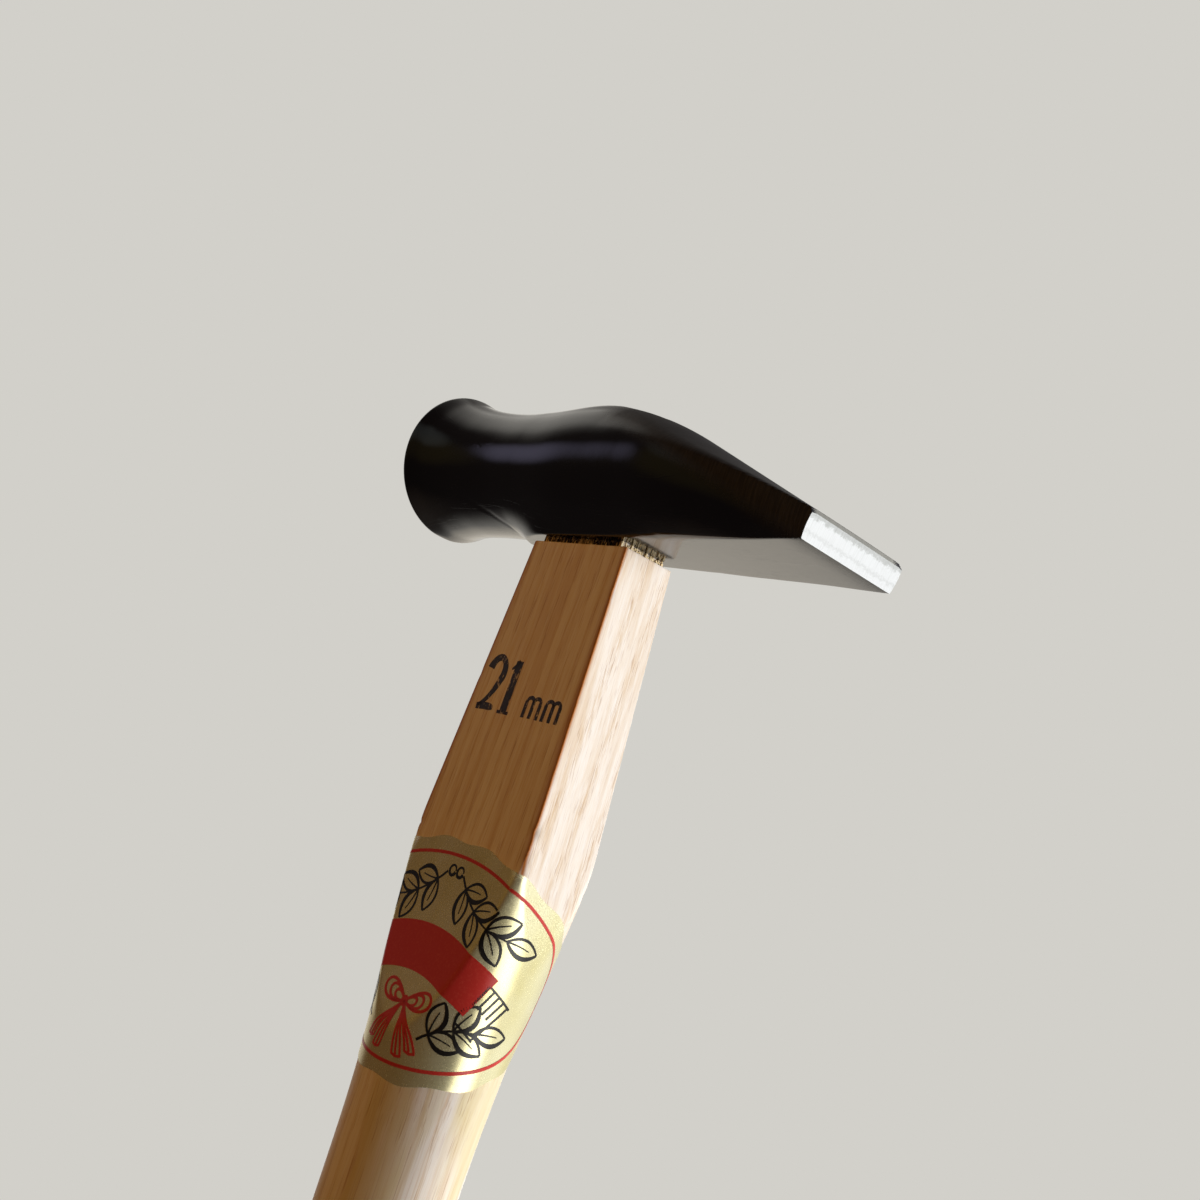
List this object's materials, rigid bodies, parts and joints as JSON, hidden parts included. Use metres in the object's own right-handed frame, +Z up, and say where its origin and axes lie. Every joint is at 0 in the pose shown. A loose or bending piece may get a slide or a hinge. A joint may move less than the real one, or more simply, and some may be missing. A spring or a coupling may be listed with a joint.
{
  "type": "genno hammer",
  "caption": "Small Japanese hammer: black forged head with a round striking face and a thin flat-bellied peen, on a planed wooden handle with a foil label.",
  "frame": {"origin": "middle of the handle's flat butt", "axes": "+Z up the handle to the head; +X from the round striking face to the peen; -Y is the wide planed face that carries the label"},
  "size_m": [0.0757, 0.021, 0.301],
  "materials": {
    "head_lacquer": "glossy black lacquer over forged steel, bare ground steel on the striking face and the peen's end",
    "wedge_steel": "plain mild steel",
    "handle_wood": "pale oak, planed, lightly polished",
    "label_foil": "thin shiny gold foil paper printed in red and black"
  },
  "bodies": {
    "root": {"head": "head_lacquer", "wedge": "wedge_steel", "handle": "handle_wood", "label": "label_foil"}
  },
  "joints": []
}
